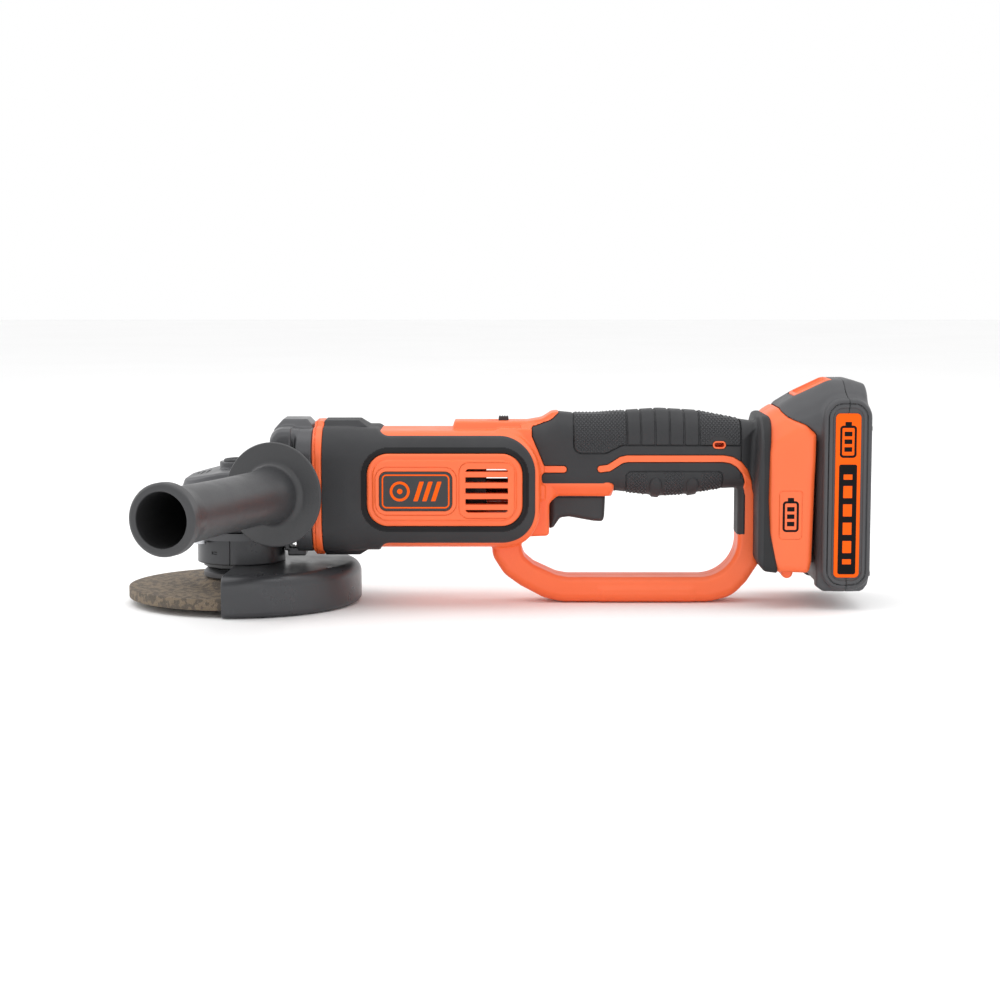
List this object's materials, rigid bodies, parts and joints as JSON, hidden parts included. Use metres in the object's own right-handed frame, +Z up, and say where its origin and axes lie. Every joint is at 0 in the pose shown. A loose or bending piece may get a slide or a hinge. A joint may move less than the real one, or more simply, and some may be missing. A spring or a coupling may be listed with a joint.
{
  "type": "angle grinder",
  "caption": "Cordless angle grinder with an in-line D-handle, side handle, wheel guard, grinding disc and slide-on battery pack.",
  "frame": {"origin": "centre of the flat under the D-handle, on the tool's mid-plane, in the plane that the tool rests on", "axes": "+X runs back to the battery, +Z is up, and -Y is the tool's left side, which carries the side handle"},
  "size_m": [0.4095, 0.2401, 0.1244],
  "materials": {
    "head_metal": "satin",
    "orange_plastic": "satin",
    "charcoal_plastic": "matte",
    "charcoal_rubber": "matte",
    "bright_steel": "satin",
    "black_steel": "satin",
    "guard_steel": "satin",
    "cover_alloy": "satin",
    "abrasive": "matte",
    "copper": "satin",
    "magnet": "matte",
    "black_plastic": "matte",
    "lamination": "satin",
    "carbon": "matte",
    "cell_wrap": "satin",
    "board_green": "satin",
    "lead_red": "satin"
  },
  "bodies": {
    "housing": {"gear_case": "head_metal", "gear_case_screws": "black_steel", "bearing_cover": "cover_alloy", "bearing_cover_screws": "bright_steel", "trim_ring": "orange_plastic", "housing_left": "orange_plastic", "housing_right": "orange_plastic", "housing_screws": "black_steel", "motor_overmold_left": "charcoal_rubber", "motor_overmold_right": "charcoal_rubber", "side_panel_left": "orange_plastic", "side_panel_right": "orange_plastic", "badge_left": "charcoal_plastic", "badge_right": "charcoal_plastic", "grip_rubber_left": "charcoal_rubber", "grip_rubber_right": "charcoal_rubber", "rear_bumper_left": "charcoal_rubber", "rear_bumper_right": "charcoal_rubber", "stator_can": "bright_steel", "stator_magnets": "magnet", "brush_carrier": "black_plastic", "carbon_brushes": "carbon", "front_motor_bearing": "bright_steel", "rear_motor_bearing": "bright_steel", "upper_spindle_bearing": "bright_steel", "lower_spindle_bearing": "bright_steel", "spindle_lock_spring": "bright_steel", "switch_module": "black_plastic", "trigger_spring": "bright_steel", "power_leads": "lead_red", "terminal_block": "black_plastic"},
    "spindle_line": {"spindle": "bright_steel", "bevel_gear": "bright_steel", "inner_flange": "black_steel", "grinding_disc": "abrasive", "lock_nut": "black_steel"},
    "armature": {"motor_shaft": "bright_steel", "armature_core": "lamination", "armature_windings": "copper", "commutator": "copper", "cooling_fan": "black_plastic", "pinion": "bright_steel"},
    "spindle_lock": {"spindle_lock_button": "charcoal_plastic", "spindle_lock_pin": "bright_steel"},
    "wheel_guard": {"guard": "guard_steel", "guard_collar": "guard_steel"},
    "guard_latch": {"guard_latch": "charcoal_plastic"},
    "trigger": {"trigger": "charcoal_plastic"},
    "lock_off": {"lock_off_slider": "charcoal_plastic"},
    "battery": {"battery_case_front": "charcoal_plastic", "battery_case_back": "charcoal_plastic", "battery_labels": "orange_plastic", "battery_cells": "cell_wrap", "battery_board": "board_green", "battery_screws": "black_steel", "release_spring": "bright_steel"},
    "battery_release": {"release_button": "orange_plastic"},
    "side_handle": {"side_handle": "charcoal_plastic", "handle_stud": "bright_steel"}
  },
  "joints": [
    {"name": "spindle_spin", "type": "hinge", "parent": "housing", "child": "spindle_line", "pos_m": [-0.226, 0, 0.05], "axis": [0, 0, 1], "continuous": true},
    {"name": "motor_spin", "type": "hinge", "parent": "housing", "child": "armature", "pos_m": [-0.15, 0, 0.0645], "axis": [1, 0, 0], "continuous": true},
    {"name": "spindle_lock_press", "type": "slide", "parent": "housing", "child": "spindle_lock", "axis": [0, 0, -1], "range_m": [0, 0.004], "stiffness_N_per_m": 800, "springref_m": -0.002, "deforming": ["spindle_lock_spring"]},
    {"name": "guard_turn", "type": "hinge", "parent": "housing", "child": "wheel_guard", "pos_m": [-0.226, 0, 0.03], "axis": [0, 0, 1], "range_deg": [-90, 90]},
    {"name": "guard_latch_slide", "type": "slide", "parent": "housing", "child": "guard_latch", "axis": [1, 0, 0], "range_m": [0, 0.0025], "stiffness_N_per_m": 800, "springref_m": -0.002},
    {"name": "trigger_pull", "type": "slide", "parent": "housing", "child": "trigger", "axis": [0, 0, 1], "range_m": [0, 0.006], "stiffness_N_per_m": 600, "springref_m": -0.003, "deforming": ["trigger_spring"]},
    {"name": "lock_off_slide", "type": "slide", "parent": "housing", "child": "lock_off", "axis": [-1, 0, 0], "range_m": [0, 0.004], "stiffness_N_per_m": 400, "springref_m": -0.002},
    {"name": "battery_slide", "type": "slide", "parent": "housing", "child": "battery", "axis": [0, 0, 1], "range_m": [0, 0.075]},
    {"name": "battery_release_press", "type": "slide", "parent": "battery", "child": "battery_release", "axis": [0, 0, -1], "range_m": [0, 0.003], "stiffness_N_per_m": 900, "springref_m": -0.002, "deforming": ["release_spring"]},
    {"name": "side_handle_unscrew", "type": "slide", "parent": "housing", "child": "side_handle", "axis": [-0.342, -0.9397, 0], "range_m": [0, 0.016]}
  ],
  "couplings": [
    {"joint": "motor_spin", "follows": "spindle_spin", "ratio": 3}
  ]
}
